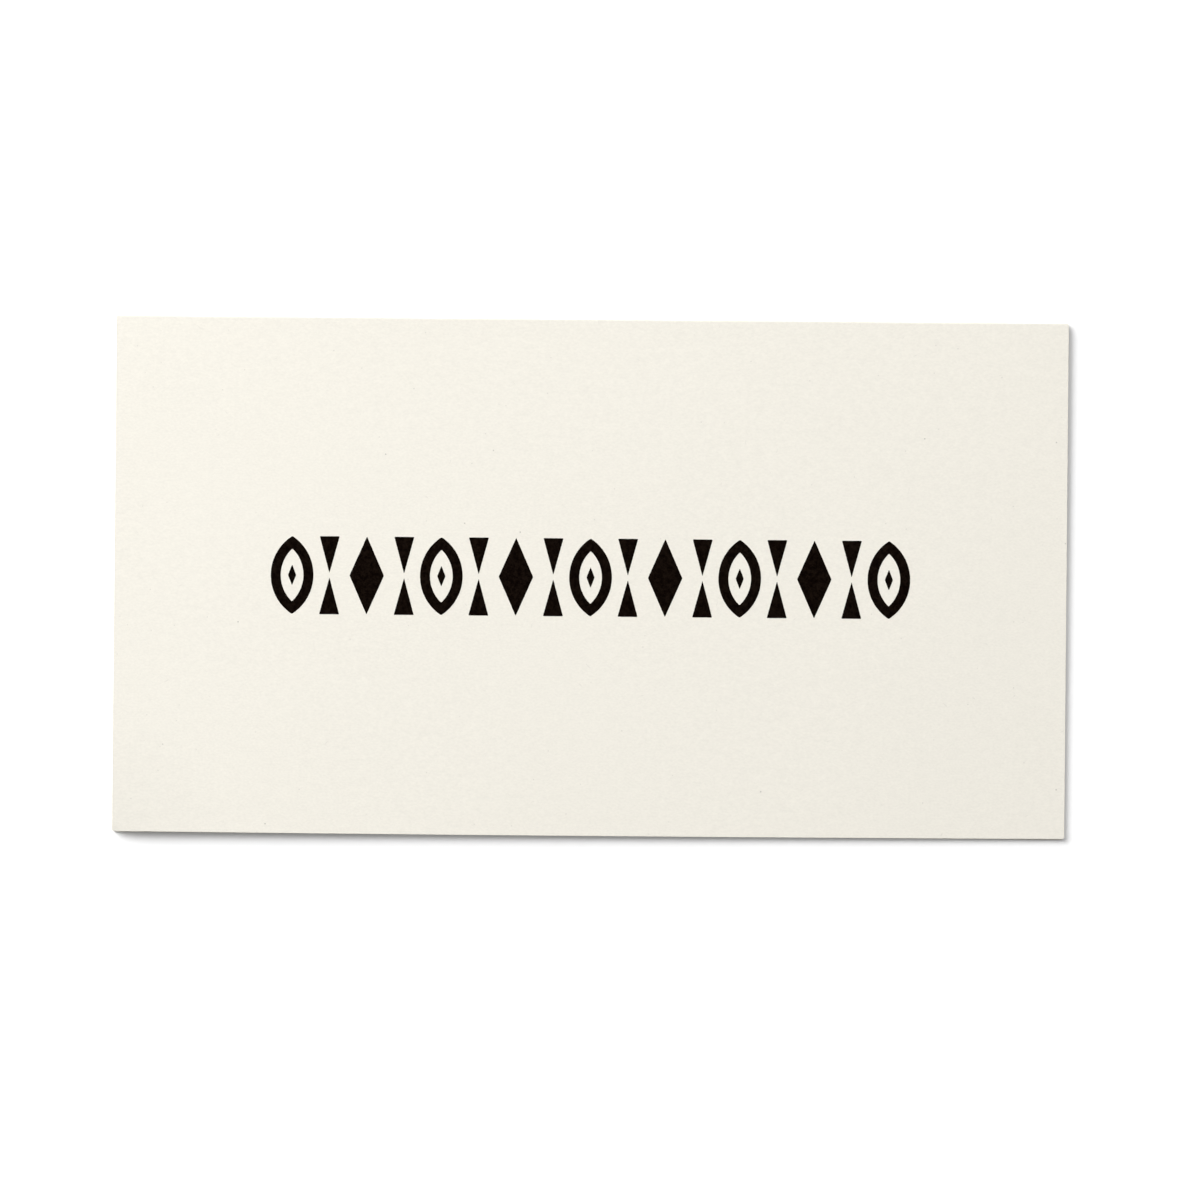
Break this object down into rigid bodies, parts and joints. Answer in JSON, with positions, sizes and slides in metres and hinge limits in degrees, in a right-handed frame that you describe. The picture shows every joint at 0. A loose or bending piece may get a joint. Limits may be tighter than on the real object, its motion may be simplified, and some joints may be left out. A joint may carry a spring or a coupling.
{
  "type": "greeting card",
  "caption": "Landscape greeting card of cream board, folded once along its long edge, lying closed with a black geometric frieze across the front.",
  "frame": {"origin": "middle of the card's footprint, on the surface that it lies on", "axes": "+X along the fold, towards the right end of the front; +Y from the free edges to the fold, which is the top of the front; +Z out of the front leaf, upward as it lies"},
  "size_m": [0.21, 0.114, 0.0023],
  "materials": {
    "board": "uncoated, felt marked",
    "ink": "matt"
  },
  "bodies": {
    "root": {"folded_card": "board", "printed_frieze": "ink"}
  },
  "joints": []
}
